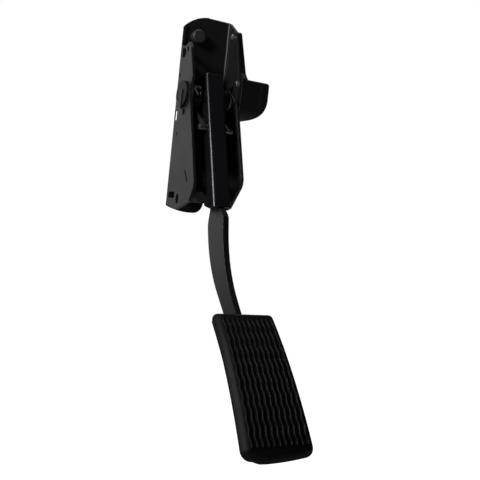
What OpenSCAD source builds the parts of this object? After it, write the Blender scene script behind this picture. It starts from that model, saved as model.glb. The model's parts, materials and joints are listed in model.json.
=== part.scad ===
// Suspended accelerator pedal with an electronic position sensor.
// +X is the driver's right, -Y faces the driver, +Z is up.
// The origin is the centre of the bracket on its rear face, which lies against the bulkhead.

/* [Bracket] */
// Width over the two side walls
bracket_w = 56; // [52:1:64]
// Thickness of the folded sheet
sheet_t = 3; // [2.5:0.1:3.4]
// Inside radius of the folds
bend_r = 2; // [1.5:0.1:2.5]
// Height of the top of the back plate above the origin
bracket_up = 105; // [102:1:112]
// Depth of the bottom of the back plate below the origin
bracket_down = 103; // [101:1:108]
// Rise of the rounded lower end of the back plate
bottom_crown = 6; // [4:1:8]
// Lean of the front edges of the walls and of the lever, in degrees
lean = 20; // [18:0.5:21]
// Reach of the lower wall edges toward the driver, at the height of the origin
wall_reach = 44.5; // [43:0.5:46]
// How much further the upper wall edges reach
wall_shoulder = 9.5; // [7:0.5:11]
// Height of the top of the left wall
left_wall_up = 71; // [66:1:74]
// Radius of the lower front corners of the walls
wall_corner_r = 20; // [14:1:24]

/* [Mounting] */
// Radius of the lower mounting holes
mount_hole_r = 4.5; // [4:0.1:5.5]
// Distance between the lower mounting holes
mount_spacing = 34; // [32:1:36]
// Depth of the lower mounting holes below the origin
mount_hole_down = 66; // [60:1:70]
// Radius of the flat head of the captive nut
cap_nut_r = 7; // [6:0.5:8]
// Length of the captive nut in front of the back plate
cap_nut_l = 7; // [6:0.5:9]
// Radius of the thread in the captive nut
cap_thread_r = 4; // [3:0.5:4.5]

/* [Pivot] */
// Distance of the pivot axis in front of the bulkhead
pivot_y = 24; // [23:0.5:25]
// Height of the pivot axis above the origin
pivot_z = 17; // [15:0.5:19]
// Radius of the pivot shaft
shaft_r = 5; // [4:0.1:5.5]
// Radial running clearance of the shaft in its bushes
shaft_gap = 0.05; // [0.03:0.01:0.08]
// Radius of the opening for the left bush
left_bush_r = 13.5; // [12:0.5:14]
// Radius of the opening for the right bush
right_bush_r = 10; // [9:0.5:11]
// Outer radius of the hub tube of the lever
hub_r = 7.5; // [7:0.1:8]

/* [Lever] */
// Width of the folded lever channel
lever_w = 20; // [18:0.5:21]
// Thickness of the lever sheet
lever_t = 2.5; // [2:0.1:3]
// Distance of the lever's front face from the bulkhead, at the height of the origin
lever_reach = 49.5; // [48.5:0.5:50]
// Length of the lever channel above its reference point
lever_up = 44; // [42:1:46]
// Length of the lever channel below its reference point
lever_down = 100; // [98:1:104]
// Depth of the lever flanges
flange_depth = 21; // [20:0.5:22]

/* [Arm and pad] */
// Thickness of the blanked arm
arm_t = 6; // [5:0.5:8]
// Width of the pad at its base
pad_w = 66; // [60:1:76]
// Length of the pad along its curve
pad_l = 134; // [120:1:146]
// Radius of the crown of the pad
pad_crown_r = 480; // [400:10:700]
// Thickness of the rubber in front of its backing plate
pad_t = 9; // [8:0.5:12]
// Width of the sloping border of the pad
pad_border = 7; // [5:0.5:9]
// Thickness of the steel backing plate
plate_t = 2.5; // [2:0.1:3]
// Number of wavy ribs on the pad
rib_count = 12; // [8:1:14]
// Height of the ribs
rib_h = 1.6; // [1:0.1:2.2]
// Number of waves along each rib
wave_count = 8; // [5:1:10]

/* [Springs and stops] */
// Radius of the spring wire
wire_r = 1.2; // [1:0.05:1.3]
// Mean radius of the spring coils
coil_r = 10.2; // [9.8:0.1:10.8]
// Number of turns of each spring
coil_turns = 3.5; // [2.5:0.5:3.5]
// Travel of the pedal in degrees
travel = 17; // [15:0.5:18]

/* [Sensor] */
// Reach of the sensor beyond the right wall
sensor_l = 32; // [28:1:36]
// Thickness of the sensor flange
sensor_flange = 6; // [5:0.5:7]
// Height of the flat top of the sensor above the pivot axis
sensor_up = 24; // [23:0.5:26]
// Depth of the sensor below the pivot axis
sensor_down = 18; // [18:0.5:20]
// Radius of the large lower outer curve
sensor_curve_r = 24; // [18:1:25]

/* [Hidden] */

// Small clearances and helpers
snug = 0.3;
eps = 0.01;
far = 200;
arc_steps = 10;
wall_x = bracket_w/2;
inner_x = wall_x - sheet_t;
plate_y = -sheet_t;
steel_black = [0.09, 0.09, 0.1];
steel_bright = [0.55, 0.56, 0.58];
rubber_black = [0.07, 0.07, 0.07];
plastic_black = [0.1, 0.1, 0.11];

// A corner of an outline: the arc of radius r that rounds b between a and c
function unit(v) = v/norm(v);
function corner(a, b, c, r) =
    let (u = unit(a - b), v = unit(c - b), half = acos(u*v)/2, m = b + unit(u + v)*r/sin(half),
         s = b + u*r/tan(half) - m, e = b + v*r/tan(half) - m,
         a0 = atan2(s[1], s[0]), turn = atan2(s[0]*e[1] - s[1]*e[0], s*e))
    [for (i = [0:arc_steps]) m + r*[cos(a0 + turn*i/arc_steps), sin(a0 + turn*i/arc_steps)]];

// An outline of corners [x, y, r], where r = 0 leaves a corner sharp
function rounded(p) = [for (i = [0:len(p) - 1])
    let (n = len(p), a = p[(i + n - 1) % n], b = p[i], c = p[(i + 1) % n])
    each (b[2] > 0 ? corner([a[0], a[1]], [b[0], b[1]], [c[0], c[1]], b[2]) : [[b[0], b[1]]])];

// A plate with its outline in Y and Z, from x0 to x1
module side_plate(outline, x0, x1) {
    translate([x0, 0, 0])
        rotate([90, 0, 90])
            linear_extrude(x1 - x0)
                polygon(outline);
}

// A plate with its outline in X and Z, from y0 to y1
module front_plate(outline, y0, y1) {
    translate([0, y1, 0])
        rotate([90, 0, 0])
            linear_extrude(y1 - y0)
                polygon(outline);
}

// A cylinder along X at the height and depth of the pivot
module on_pivot(r, x0, x1, sides = 64) {
    translate([x0, -pivot_y, pivot_z])
        rotate([0, 90, 0])
            cylinder(h = x1 - x0, r = r, $fn = sides);
}

// A cylinder along X at a place on a wall
module wall_hole(r, y, z, x0, x1) {
    translate([x0, y, z])
        rotate([0, 90, 0])
            cylinder(h = x1 - x0, r = r, $fn = 32);
}

// A cylinder along Y, from y0 to y1
module along_y(r, x, z, y0, y1, sides = 48) {
    translate([x, y1, z])
        rotate([90, 0, 0])
            cylinder(h = y1 - y0, r = r, $fn = sides);
}

// A slot through the left wall, turned by a in the plane of the wall
module left_slot(y, z, w, h, a = 0) {
    translate([-wall_x - 1, y, z])
        rotate([a, 0, 0])
            side_plate(rounded([[-w/2, -h/2, w*0.45], [w/2, -h/2, w*0.45], [w/2, h/2, w*0.45],
                                [-w/2, h/2, w*0.45]]), 0, sheet_t + 2);
}

// Front edge of the walls at height z, lower and upper run
function edge_y(z) = -wall_reach + z*tan(lean);
function shoulder_y(z) = edge_y(z) - wall_shoulder;

// Outline of the back plate seen from the driver, with its high side to the right
crown_x = 8;
crown_r = 48;
wall_low = -bracket_down + bottom_crown;
function crown_z(x) = bracket_up - crown_r + sqrt(crown_r*crown_r - (x - crown_x)*(x - crown_x));
bottom_r = (wall_x*wall_x + bottom_crown*bottom_crown)/(2*bottom_crown);
function bottom_z(x) = -bracket_down + bottom_r - sqrt(bottom_r*bottom_r - x*x);
plate_steps = 16;
plate_outline = concat(
    [for (i = [0:plate_steps]) let (x = -wall_x + bracket_w*i/plate_steps) [x, bottom_z(x)]],
    [for (i = [0:plate_steps]) let (x = wall_x - bracket_w*i/plate_steps) [x, crown_z(x)]]);

// Side outline of the bracket: the right wall is the taller one
shoulder_low = 33;
shoulder_end = 20;
right_wall_up = bracket_up - 4;
wall_side = rounded([
    [1, -bracket_down - 1, 0],
    [-sheet_t - bend_r, -bracket_down - 1, 0],
    [-sheet_t - bend_r, wall_low, 0],
    [edge_y(wall_low), wall_low, wall_corner_r],
    [edge_y(shoulder_end), shoulder_end, 8],
    [shoulder_y(shoulder_low), shoulder_low, 8],
    [shoulder_y(right_wall_up - 8), right_wall_up - 8, 12],
    [-6, right_wall_up + 3, 6],
    [1, bracket_up + 1, 0]]);

// The part of the left side that is cut away above its lower wall
left_cut = rounded([
    [-sheet_t - bend_r, bracket_up + 2, 0],
    [-sheet_t - bend_r, left_wall_up, 0],
    [shoulder_y(left_wall_up - 4) + 1, left_wall_up - 4, 4],
    [shoulder_y(left_wall_up - 10) - 1, left_wall_up - 12, 0],
    [-far, left_wall_up - 12, 0],
    [-far, bracket_up + 2, 0]]);

module bracket() {
    color(steel_black)
        difference() {
            intersection() {
                translate([0, 0, -bracket_down - 1])
                    linear_extrude(bracket_up + bracket_down + 2)
                        polygon(rounded([
                            [-wall_x, -far, 0], [-inner_x, -far, 0],
                            [-inner_x, plate_y, bend_r], [inner_x, plate_y, bend_r],
                            [inner_x, -far, 0], [wall_x, -far, 0],
                            [wall_x, 0, bend_r + sheet_t], [-wall_x, 0, bend_r + sheet_t]]));
                side_plate(wall_side, -wall_x - 1, wall_x + 1);
                front_plate(plate_outline, -far, 1);
            }
            side_plate(left_cut, -wall_x - 1, -inner_x + bend_r);
            on_pivot(left_bush_r, -wall_x - 1, -inner_x + 1);
            on_pivot(right_bush_r, inner_x - 1, wall_x + 1);
            bracket_holes();
        }
}

module bracket_holes() {
    // Mounting holes, captive nut and stop screw
    for (side = [-1, 1])
        along_y(mount_hole_r, side*mount_spacing/2, -mount_hole_down, -sheet_t - 1, 1);
    along_y(cap_shank_r, cap_nut_x, cap_nut_z, -sheet_t - 1, 1);
    along_y(stop_r, 0, stop_z, -sheet_t - 1, 1);
    // Screws of the sensor
    for (p = sensor_screw_places)
        wall_hole(sensor_screw_r, p[0], p[1], inner_x - 1, wall_x + 1);
    // Windows and slots of the left wall, from top to bottom
    left_slot(-11, 62, 4, 10);
    left_slot(-22, 63, 2.5, 5);
    left_slot(-30, -4, 3.5, 4);
    translate([-wall_x - 1, -9, -9])
        cube([sheet_t + bend_r + 2, 10, 10.5]);
    left_slot(-15, -23, 2, 5);
    left_slot(-50.5, -67, 2.6, 16, -lean - 16);
    translate([-wall_x - 1, -12, -89])
        cube([sheet_t + 2, 8, 5]);
    left_slot(-33, -86, 6, 11);
    left_slot(-60, -82, 2, 2.5);
}

// Captive nut with a flat head, pressed into the upper left of the back plate
cap_nut_x = -11;
cap_nut_z = 82;
cap_shank_r = cap_thread_r + 1.5;

module captive_nut() {
    color([0.3, 0.3, 0.31])
        difference() {
            union() {
                along_y(cap_nut_r, cap_nut_x, cap_nut_z, plate_y - cap_nut_l + 0.8, plate_y);
                translate([cap_nut_x, plate_y - cap_nut_l + 0.8, cap_nut_z])
                    rotate([90, 0, 0])
                        cylinder(h = 0.8, r1 = cap_nut_r, r2 = cap_nut_r - 0.8, $fn = 64);
                along_y(cap_shank_r, cap_nut_x, cap_nut_z, plate_y - eps, 0);
            }
            along_y(cap_thread_r, cap_nut_x, cap_nut_z, plate_y - cap_nut_l + 2, 1);
        }
}

// Bushes in the walls
bush_flange_t = 2;
bush_flange_w = 2;
bush_recess = 1;
bore_r = shaft_r + shaft_gap;

module bush(side, opening_r) {
    color([0.16, 0.16, 0.17])
        difference() {
            union() {
                on_pivot(opening_r, side < 0 ? -wall_x + bush_recess : inner_x,
                         side < 0 ? -inner_x : wall_x);
                on_pivot(opening_r + bush_flange_w, side < 0 ? -inner_x : inner_x - bush_flange_t,
                         side < 0 ? -inner_x + bush_flange_t : inner_x);
            }
            on_pivot(bore_r, -wall_x - 1, wall_x + 1);
        }
}

module left_bush() bush(-1, left_bush_r);
module right_bush() bush(1, right_bush_r);

// Pivot shaft, with a groove for its clip and a flat for the rotor
clip_t = 1.2;
clip_x = -wall_x + bush_recess - snug - clip_t;
groove_r = shaft_r - 1;
shaft_left = clip_x - 1.8;
shaft_right = wall_x + 11;
flat_l = 8;
hub_pin_r = 1.5;

module pivot_shaft() {
    color(steel_bright)
        difference() {
            on_pivot(shaft_r, shaft_left, shaft_right);
            difference() {
                on_pivot(shaft_r + 1, clip_x - 0.05, clip_x + clip_t + 0.05);
                on_pivot(groove_r, clip_x - 1, clip_x + clip_t + 1);
            }
            translate([shaft_right - flat_l, -pivot_y - shaft_r - 1, pivot_z + shaft_r*0.6])
                cube([flat_l + 1, 2*shaft_r + 2, shaft_r]);
            hub_pin_bore();
        }
}

module hub_pin_bore() {
    translate([0, -pivot_y - hub_r - 1, pivot_z])
        rotate([-90, 0, 0])
            cylinder(h = 2*hub_r + 2, r = hub_pin_r, $fn = 32);
}

// Retaining clip: an open ring with an ear
clip_r = 9.5;

module shaft_clip() {
    color(steel_bright)
        difference() {
            union() {
                on_pivot(clip_r, clip_x, clip_x + clip_t);
                translate([clip_x, -pivot_y - 4, pivot_z + clip_r - 1.5])
                    cube([clip_t, 7, 3.5]);
            }
            on_pivot(groove_r, clip_x - 1, clip_x + clip_t + 1);
            translate([clip_x - 1, -pivot_y - far, pivot_z - groove_r*0.85])
                cube([clip_t + 2, far, 2*groove_r*0.85]);
            difference() {
                on_pivot(clip_r - 2, clip_x - 1, clip_x + clip_t + 1);
                on_pivot(groove_r + 2, clip_x - 2, clip_x + clip_t + 2);
                translate([clip_x - 2, -pivot_y, pivot_z - 1.5])
                    cube([clip_t + 4, clip_r, 3]);
            }
        }
}

// Hub tube of the lever, pinned to the shaft
washer_t = 1.2;
hub_x = inner_x - bush_flange_t - washer_t - snug;

module hub_tube() {
    color(steel_black)
        difference() {
            on_pivot(hub_r, -hub_x, hub_x);
            on_pivot(shaft_r, -hub_x - 1, hub_x + 1);
            hub_pin_bore();
        }
}

module hub_pin() {
    color(steel_bright)
        translate([0, -pivot_y - hub_r, pivot_z])
            rotate([-90, 0, 0])
                cylinder(h = 2*hub_r, r = hub_pin_r, $fn = 32);
}

// Thrust washers between the hub tube and the bushes
module thrust_washer(side) {
    color([0.75, 0.74, 0.7])
        difference() {
            on_pivot(hub_r + 1, side < 0 ? -hub_x - washer_t : hub_x, side < 0 ? -hub_x : hub_x + washer_t);
            on_pivot(shaft_r, -wall_x, wall_x);
        }
}

module left_thrust_washer() thrust_washer(-1);
module right_thrust_washer() thrust_washer(1);

// Frame of the lever: y = 0 is its front face, z runs up along it
module on_lever() {
    translate([0, -lever_reach, 0])
        rotate([-lean, 0, 0])
            children();
}

// Place of a point of the world in the frame of the lever, as [depth, height]
function to_lever(y, z) = [(y + lever_reach)*cos(lean) - z*sin(lean), (y + lever_reach)*sin(lean) + z*cos(lean)];
// Place of a point of the lever in the world, as [y, z]
function from_lever(d, h) = [-lever_reach + d*cos(lean) + h*sin(lean), -d*sin(lean) + h*cos(lean)];

pivot_on_lever = to_lever(-pivot_y, pivot_z);
lever_x = lever_w/2;
// Rear edge of the tail, which stands upright in front of the bumper, and its top
tail_y = -11;
tail_low = pivot_z - 10;
tail_top = pivot_z + 14;
lever_side = rounded([
    [-1, lever_up, 0],
    [-1, -lever_down, 0],
    [flange_depth*0.42, -lever_down, 2],
    [flange_depth, -lever_down + 7, 2],
    [flange_depth, pivot_on_lever[1] - 30, 12],
    [each to_lever(tail_y, tail_low), 10],
    [each to_lever(tail_y, tail_top), 5],
    [8, lever_up, 10]]);

module lever_channel() {
    color(steel_black)
        difference() {
            on_lever()
                intersection() {
                    translate([0, 0, -lever_down - 2])
                        linear_extrude(lever_up + lever_down + 4)
                            polygon(rounded([
                                [-lever_x, 0, lever_t + 1], [lever_x, 0, lever_t + 1],
                                [lever_x, far, 0], [lever_x - lever_t, far, 0],
                                [lever_x - lever_t, lever_t, 1], [-lever_x + lever_t, lever_t, 1],
                                [-lever_x + lever_t, far, 0], [-lever_x, far, 0]]));
                    side_plate(lever_side, -lever_x - 1, lever_x + 1);
                }
            on_pivot(hub_r, -lever_x - 1, lever_x + 1);
            on_lever()
                lever_cross_bore();
        }
}

// Pin across the lever that the moving ends of the springs push on
spring_pin_r = 2.5;
spring_pin_depth = 7;
spring_pin_h = pivot_on_lever[1] - 40;
spring_pin_x = 19;

module lever_cross_bore() {
    translate([-far/2, spring_pin_depth, spring_pin_h])
        rotate([0, 90, 0])
            cylinder(h = far, r = spring_pin_r, $fn = 32);
}

module spring_pin() {
    color(steel_bright)
        on_lever()
            translate([-spring_pin_x, spring_pin_depth, spring_pin_h])
                rotate([0, 90, 0])
                    cylinder(h = 2*spring_pin_x, r = spring_pin_r, $fn = 32);
}

// Return springs: a coil round the hub, one leg on the spring pin and one on the back plate
coil_sides = 8;
turn_steps = 18;
coil_steps = turn_steps*coil_turns;
coil_pitch = 2*wire_r + 0.3;
spring_start_x = lever_x + wire_r + 0.4;
pin_place = from_lever(spring_pin_depth, spring_pin_h);
// Directions from the pivot, in degrees from +Y toward +Z, of the two tangent legs
pin_dir = atan2(pin_place[1] - pivot_z, pin_place[0] + pivot_y);
pin_dist = norm([pin_place[0] + pivot_y, pin_place[1] - pivot_z]);
moving_dir = pin_dir + acos(coil_r/pin_dist) - asin((spring_pin_r + wire_r + snug)/pin_dist);
leg_l = sqrt(pin_dist*pin_dist - coil_r*coil_r) + 4;
plate_leg_l = 18;

function spring_path(side) =
    let (start = moving_dir, total = 360*coil_turns)
    concat(
        [for (s = [leg_l, leg_l/2])
            [side*spring_start_x, -pivot_y + coil_r*cos(start) + s*sin(start),
             pivot_z + coil_r*sin(start) - s*cos(start)]],
        [for (i = [0:coil_steps]) let (a = start + total*i/coil_steps)
            [side*(spring_start_x + coil_pitch*coil_turns*i/coil_steps), -pivot_y + coil_r*cos(a),
             pivot_z + coil_r*sin(a)]],
        let (a = start + total, x = side*(spring_start_x + coil_pitch*coil_turns))
        [for (s = [plate_leg_l/2, plate_leg_l])
            [x, -pivot_y + coil_r*cos(a) - s*sin(a), pivot_z + coil_r*sin(a) + s*cos(a)]]);

// A round wire along a path of points
function ring(p, dir) =
    let (t = unit(dir), b = unit(cross(t, [1, 0, 0])), n = cross(b, t))
    [for (j = [0:coil_sides - 1]) p + wire_r*(cos(360*j/coil_sides)*b + sin(360*j/coil_sides)*n)];

module wire(path) {
    last = len(path) - 1;
    points = [for (i = [0:last])
        each ring(path[i], path[min(i + 1, last)] - path[max(i - 1, 0)])];
    sides = [for (i = [0:last - 1], j = [0:coil_sides - 1])
        let (k = (j + 1) % coil_sides)
        [i*coil_sides + j, i*coil_sides + k, (i + 1)*coil_sides + k, (i + 1)*coil_sides + j]];
    polyhedron(points, concat(sides, [[for (j = [coil_sides - 1:-1:0]) j],
                                      [for (j = [0:coil_sides - 1]) last*coil_sides + j]]));
}

module left_spring() {
    color(steel_bright)
        wire(spring_path(-1));
}

module right_spring() {
    color(steel_bright)
        wire(spring_path(1));
}

// Rubber bumper on the back plate that the tail of the lever rests on
bumper_h = 9;
bumper_z = pivot_z + 8;

module idle_bumper() {
    color(rubber_black)
        translate([0, 0, bumper_z])
            front_plate(rounded([[-lever_x, -bumper_h/2, 3], [lever_x, -bumper_h/2, 3],
                                 [lever_x, bumper_h/2, 3], [-lever_x, bumper_h/2, 3]]),
                        tail_y + snug, plate_y);
}

// Stop screw for full travel, in a weld nut on the back plate
stop_r = 4;
stop_z = -86;
stop_head_r = 6.5;
stop_head_l = 5;
// Rear edge of the lever at the height of the stop, turned to full travel
stop_point = from_lever(flange_depth, -lever_down + 12);
stop_arm = stop_point - [-pivot_y, pivot_z];
stop_head_y = -pivot_y + stop_arm[0]*cos(travel) - stop_arm[1]*sin(travel) + 1.2;

module stop_screw() {
    color(steel_bright)
        union() {
            along_y(stop_r, 0, stop_z, stop_head_y + stop_head_l - eps, -0.5);
            along_y(stop_head_r, 0, stop_z, stop_head_y, stop_head_y + stop_head_l, 6);
        }
}

module stop_nut() {
    color(steel_bright)
        difference() {
            along_y(stop_head_r, 0, stop_z, plate_y - 6.5, plate_y, 6);
            along_y(stop_r, 0, stop_z, plate_y - 8, 1);
        }
}

// Frame of the pad: y = 0 is the crowned back of the rubber at its middle, z runs up along it
pad_lean = 41;
pad_y = -190.5;
pad_z = -237.5;

// Place of a point of the pad's frame in the world, as [y, z]
function from_pad(d, h) = [pad_y + d*cos(pad_lean) + h*sin(pad_lean),
                           pad_z - d*sin(pad_lean) + h*cos(pad_lean)];

module on_pad() {
    translate([0, pad_y, pad_z])
        rotate([-pad_lean, 0, 0])
            children();
}

// Crown of the pad at height h, a shell of the given depth
function crown(h, depth) = sqrt((pad_crown_r + depth)*(pad_crown_r + depth) - h*h) - pad_crown_r;

// Side outline between two depths in front of the back of the rubber
crown_steps = 16;
function pad_side(d0, d1, l) = concat(
    [for (i = [0:crown_steps]) let (h = l*(i/crown_steps - 0.5)) [-crown(h, d0), h]],
    [for (i = [crown_steps:-1:0]) let (h = l*(i/crown_steps - 0.5)) [-crown(h, d1), h]]);

// Arm: one blanked plate, its tongue welded in the lever channel and its foot behind the pad plate
tongue_up = 55;
arm_outline = rounded(concat(
    [for (p = [[lever_t, -lever_down + tongue_up], [lever_t, -lever_down]]) [each from_lever(p[0], p[1]), 0]],
    [[-84, -95.5, 0], [-93, -103, 3], [-103, -152, 125]],
    [for (i = [crown_steps:-1:crown_steps/2]) let (h = pad_l*(i/crown_steps - 0.5))
        [each from_pad(-crown(h, -plate_t), h), 0]],
    [[each from_pad(-crown(0, -plate_t) + 7, 0), 4], [each from_pad(24, 34), 30],
     [-72, -154, 120], [-59.5, -113, 20],
     [each from_lever(flange_depth + snug, -lever_down + 5), 0],
     [each from_lever(flange_depth + snug, -lever_down + tongue_up - 8), 8],
     [each from_lever(flange_depth - 8, -lever_down + tongue_up), 4]]));

module pedal_arm() {
    color(steel_black)
        side_plate(arm_outline, -arm_t/2, arm_t/2);
}

pad_corner_r = 8;

module pad_plate() {
    color(steel_black)
        on_pad()
            intersection() {
                side_plate(pad_side(-plate_t, 0, pad_l), -far, far);
                front_plate(rounded([for (c = [[-1, -1], [1, -1], [1, 1], [-1, 1]])
                    [c[0]*(pad_w/2 - 3), c[1]*(pad_l/2 - 3), pad_corner_r - 3]]), -far, far);
            }
}

// The rubber: a sloping border in steps of a loft, and wavy ribs on its face
border_steps = 4;
rib_field_w = pad_w - 2*pad_border - 2;
rib_field_l = pad_l - 2*pad_border - 2;
rib_pitch = rib_field_w/rib_count;
wave_l = rib_field_l/wave_count;
wave_amp = rib_pitch*0.22;
wave_steps = 6;

function rib_centre(h) = wave_amp*sin(360*h/wave_l);
function rib_outline(x, w) = concat(
    [for (i = [0:wave_count*wave_steps]) let (h = rib_field_l*(i/(wave_count*wave_steps) - 0.5))
        [x + rib_centre(h) - w/2, h]],
    [for (i = [wave_count*wave_steps:-1:0]) let (h = rib_field_l*(i/(wave_count*wave_steps) - 0.5))
        [x + rib_centre(h) + w/2, h]]);

module pad_rubber() {
    color(rubber_black)
        on_pad() {
            for (i = [0:border_steps - 1])
                let (d0 = i*(pad_t - rib_h)/border_steps, d1 = (i + 1)*(pad_t - rib_h)/border_steps,
                     in = pad_border*pow((i + 0.5)/border_steps, 1.6) - 0.5)
                intersection() {
                    side_plate(pad_side(d0 - (i > 0 ? 0.2 : 0), d1, pad_l), -far, far);
                    front_plate(rounded([for (c = [[-1, -1], [1, -1], [1, 1], [-1, 1]])
                        [c[0]*(pad_w/2 - in), c[1]*(pad_l/2 - in), pad_corner_r]]), -far, far);
                }
            intersection() {
                side_plate(pad_side(pad_t - rib_h - 0.3, pad_t, pad_l), -far, far);
                union()
                    for (i = [0:rib_count - 1])
                        front_plate(rib_outline((i + 0.5 - rib_count/2)*rib_pitch, rib_pitch*0.56), -far, far);
            }
        }
}

// Sensor on the right wall, round the end of the shaft
sensor_y0 = -pivot_y - 18;
sensor_y1 = -pivot_y + 19;
sensor_top = pivot_z + sensor_up;
sensor_low = pivot_z - sensor_down;
sensor_x = wall_x + sensor_l;
cover_x = sensor_x - 9;
ear_top = 94;
sensor_screw_r = 2;
sensor_screw_places = [[-14, 87], [-36, 35], [-9.5, 6]];
screw_head_r = 3.5;
screw_head_t = 2;
screw_l = sheet_t + 5;

module sensor_form(x0, x1) {
    intersection() {
        side_plate(rounded([[sensor_y0, sensor_low, 12], [sensor_y1, sensor_low, 12],
                            [sensor_y1, sensor_top, 3], [sensor_y0, sensor_top, 3]]), x0, x1);
        front_plate(rounded([[wall_x - 5, sensor_low, 0], [sensor_x, sensor_low, sensor_curve_r],
                             [sensor_x, sensor_top, 3], [wall_x - 5, sensor_top, 0]]), -far, far);
    }
}

rotor_r = 12;
rotor_t = 6;
rotor_x = wall_x + 4;
board_x = wall_x + 17;
board_t = 1.6;

module sensor_housing() {
    color(plastic_black)
        difference() {
            union() {
                sensor_form(wall_x, cover_x);
                side_plate(rounded([[sensor_y1, sensor_low + 12, 0], [sensor_y1 - 2, ear_top, 5],
                                    [-17, ear_top, 5], [shoulder_y(47) + 0.5, 47, 3],
                                    [sensor_y0, sensor_top, 0], [sensor_y0, sensor_low + 12, 0]]),
                           wall_x, wall_x + sensor_flange);
            }
            on_pivot(rotor_r + 1, wall_x - 1, rotor_x + rotor_t + 1);
            on_pivot(seal_r + seal_w + 0.02, wall_x - 1, wall_x + seal_t);
            on_pivot(rotor_r + 1, board_x - 2, cover_x + 1);
            for (p = sensor_screw_places)
                wall_hole(sensor_screw_r, p[0], p[1], wall_x - 1, inner_x + screw_l);
        }
}

// Seal ring between the wall and the housing
seal_r = rotor_r + 1.2;
seal_w = 2;
seal_t = 1.5;

module sensor_seal() {
    color(rubber_black)
        difference() {
            on_pivot(seal_r + seal_w, wall_x, wall_x + seal_t);
            on_pivot(seal_r, wall_x - 1, wall_x + seal_t + 1);
        }
}

module sensor_rotor() {
    color([0.8, 0.78, 0.7])
        difference() {
            union() {
                on_pivot(rotor_r, rotor_x, rotor_x + rotor_t);
                on_pivot(shaft_r + 2, rotor_x - 2.5, rotor_x);
            }
            difference() {
                on_pivot(shaft_r, rotor_x - 5, shaft_right);
                translate([shaft_right - flat_l, -pivot_y - shaft_r - 1, pivot_z + shaft_r*0.6])
                    cube([flat_l + 1, 2*shaft_r + 2, shaft_r]);
            }
        }
}

module sensor_board() {
    color([0.1, 0.35, 0.2])
        difference() {
            on_pivot(rotor_r + 0.9, board_x, board_x + board_t);
            for (i = [0:pin_count - 1])
                wall_hole(pin_r, pin_y(i), socket_z, board_x - 1, board_x + board_t + 1);
        }
}

// Cover with the connector socket in its outer face
socket_z = pivot_z + 8;
socket_y = -pivot_y;
socket_w = 24;
socket_h = 13;
socket_depth = 7;
pin_count = 6;
pin_pitch = 3.2;
pin_r = 0.8;
function pin_y(i) = socket_y + (i - (pin_count - 1)/2)*pin_pitch;

module sensor_cover() {
    color(plastic_black)
        difference() {
            sensor_form(cover_x, sensor_x);
            translate([0, socket_y, socket_z])
                side_plate(rounded([[-socket_w/2, -socket_h/2, 4], [socket_w/2, -socket_h/2, 4],
                                    [socket_w/2, socket_h/2, 4], [-socket_w/2, socket_h/2, 4]]),
                           sensor_x - socket_depth, sensor_x + 1);
            for (i = [0:pin_count - 1])
                wall_hole(pin_r, pin_y(i), socket_z, cover_x - 1, sensor_x);
        }
}

module contact_pins() {
    color([0.8, 0.7, 0.35])
        for (i = [0:pin_count - 1])
            wall_hole(pin_r, pin_y(i), socket_z, board_x, sensor_x - 1.5);
}

// Screws through the wall into the sensor, with their heads inside the bracket
module sensor_screws() {
    color(steel_bright)
        for (p = sensor_screw_places) {
            wall_hole(sensor_screw_r, p[0], p[1], inner_x - eps, inner_x + screw_l);
            translate([inner_x - screw_head_t, p[0], p[1]])
                rotate([0, 90, 0])
                    cylinder(h = screw_head_t, r1 = screw_head_r - 0.8, r2 = screw_head_r, $fn = 32);
        }
}

bracket();
captive_nut();
left_bush();
right_bush();
pivot_shaft();
shaft_clip();
hub_tube();
hub_pin();
left_thrust_washer();
right_thrust_washer();
lever_channel();
spring_pin();
left_spring();
right_spring();
idle_bumper();
stop_screw();
stop_nut();
pedal_arm();
pad_plate();
pad_rubber();
sensor_housing();
sensor_seal();
sensor_rotor();
sensor_board();
sensor_cover();
contact_pins();
sensor_screws();
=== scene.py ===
"""Looks of the accelerator pedal: finishes on the CAD nodes, finer pieces, studio and camera."""

import json
import logging
import math
from collections.abc import Callable, Sequence
from dataclasses import dataclass
from enum import Enum

import bmesh
import bpy
from mathutils import Matrix, Vector


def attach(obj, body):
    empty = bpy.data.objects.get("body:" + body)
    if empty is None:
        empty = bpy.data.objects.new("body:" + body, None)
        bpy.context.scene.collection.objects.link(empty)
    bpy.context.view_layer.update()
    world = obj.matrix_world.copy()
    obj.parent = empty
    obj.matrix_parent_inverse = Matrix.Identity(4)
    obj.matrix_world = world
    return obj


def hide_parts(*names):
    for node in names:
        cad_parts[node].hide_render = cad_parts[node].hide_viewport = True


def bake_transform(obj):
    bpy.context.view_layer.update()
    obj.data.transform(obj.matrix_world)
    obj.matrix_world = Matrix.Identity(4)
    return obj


logging.basicConfig(level=logging.INFO, format="%(message)s")
LOG = logging.getLogger("pedal")

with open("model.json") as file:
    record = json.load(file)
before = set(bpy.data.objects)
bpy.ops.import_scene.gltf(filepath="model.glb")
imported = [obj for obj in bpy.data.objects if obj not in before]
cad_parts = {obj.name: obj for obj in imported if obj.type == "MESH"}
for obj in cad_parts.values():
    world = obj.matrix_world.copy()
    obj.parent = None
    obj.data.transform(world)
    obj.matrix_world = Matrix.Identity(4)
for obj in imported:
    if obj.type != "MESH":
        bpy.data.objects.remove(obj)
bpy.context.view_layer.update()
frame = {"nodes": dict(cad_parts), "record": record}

MM = 0.001
Socket = bpy.types.NodeSocket
Piece = bpy.types.Object
Point = tuple[float, float]
Corner = tuple[float, float, float]
Place = tuple[float, float, float]


# ---------------------------------------------------------------- node groups


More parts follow.
